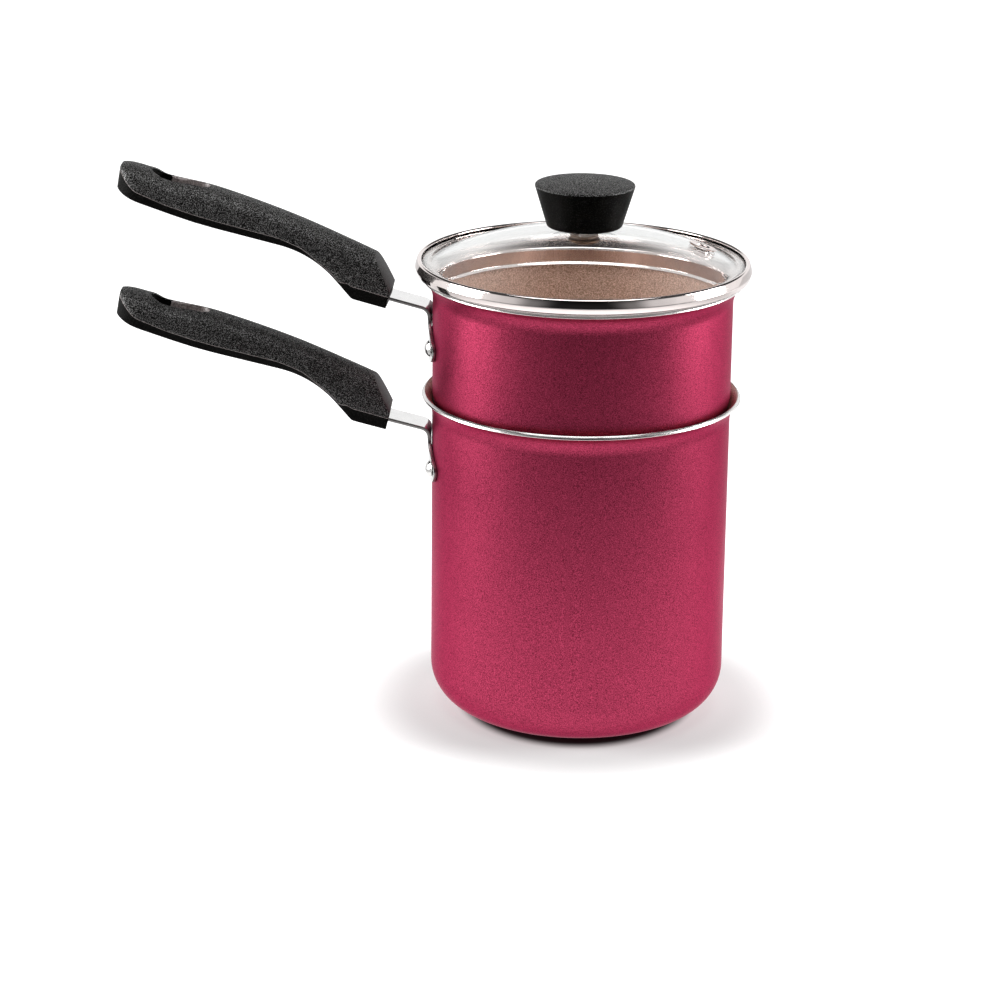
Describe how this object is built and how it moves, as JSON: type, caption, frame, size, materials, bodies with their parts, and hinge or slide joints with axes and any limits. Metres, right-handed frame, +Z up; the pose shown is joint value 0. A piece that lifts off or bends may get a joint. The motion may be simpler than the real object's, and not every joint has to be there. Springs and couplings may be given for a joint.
{
  "type": "couscous steamer",
  "caption": "Stovetop couscous steamer: a handled steamer pot stands in the flared mouth of a deep cooking pot, under a domed glass lid with a steel band, steam vent and knob.",
  "frame": {"origin": "middle of the pot's flat base, on the surface it stands on", "axes": "+Z up along the axis of the pots and lid, -X towards the two handles, +Y completes a right-handed frame"},
  "size_m": [0.2954, 0.1566, 0.2567],
  "materials": {
    "coated_metal": "raspberry metallic enamel outside, brown metallic non-stick inside, bare aluminium at the rim",
    "polished_steel": "polished stainless steel",
    "rivet_steel": "plain stainless steel",
    "black_moulding": "black phenolic with fine grain",
    "aluminium_sheet": "satin",
    "clear_glass": "clear tempered glass",
    "insert_brass": "turned",
    "silicone": "matte grey silicone"
  },
  "bodies": {
    "root": {"cooking_pot": "coated_metal", "pot_bracket": "polished_steel", "pot_rivet_left": "rivet_steel", "pot_rivet_right": "rivet_steel", "pot_handle": "black_moulding", "pot_handle_screw": "rivet_steel"},
    "steamer": {"steamer_pot": "coated_metal", "steamer_bracket": "polished_steel", "steamer_rivet_left": "rivet_steel", "steamer_rivet_right": "rivet_steel", "steamer_handle": "black_moulding", "steamer_handle_screw": "rivet_steel"},
    "disc": {"steam_disc": "aluminium_sheet"},
    "lid": {"lid_glass": "clear_glass", "lid_band": "polished_steel", "lid_knob": "black_moulding", "knob_insert": "insert_brass", "knob_gasket": "silicone", "glass_gasket": "silicone", "knob_screw": "rivet_steel", "vent_eyelet": "polished_steel", "vent_washer": "polished_steel"}
  },
  "joints": [
    {"name": "steamer_lift", "type": "slide", "parent": "root", "child": "steamer", "axis": [0, 0, 1], "range_m": [0, 0.06]},
    {"name": "disc_lift", "type": "slide", "parent": "steamer", "child": "disc", "axis": [0, 0, 1], "range_m": [0, 0.06]},
    {"name": "lid_lift", "type": "slide", "parent": "steamer", "child": "lid", "axis": [0, 0, 1], "range_m": [0, 0.04]}
  ]
}
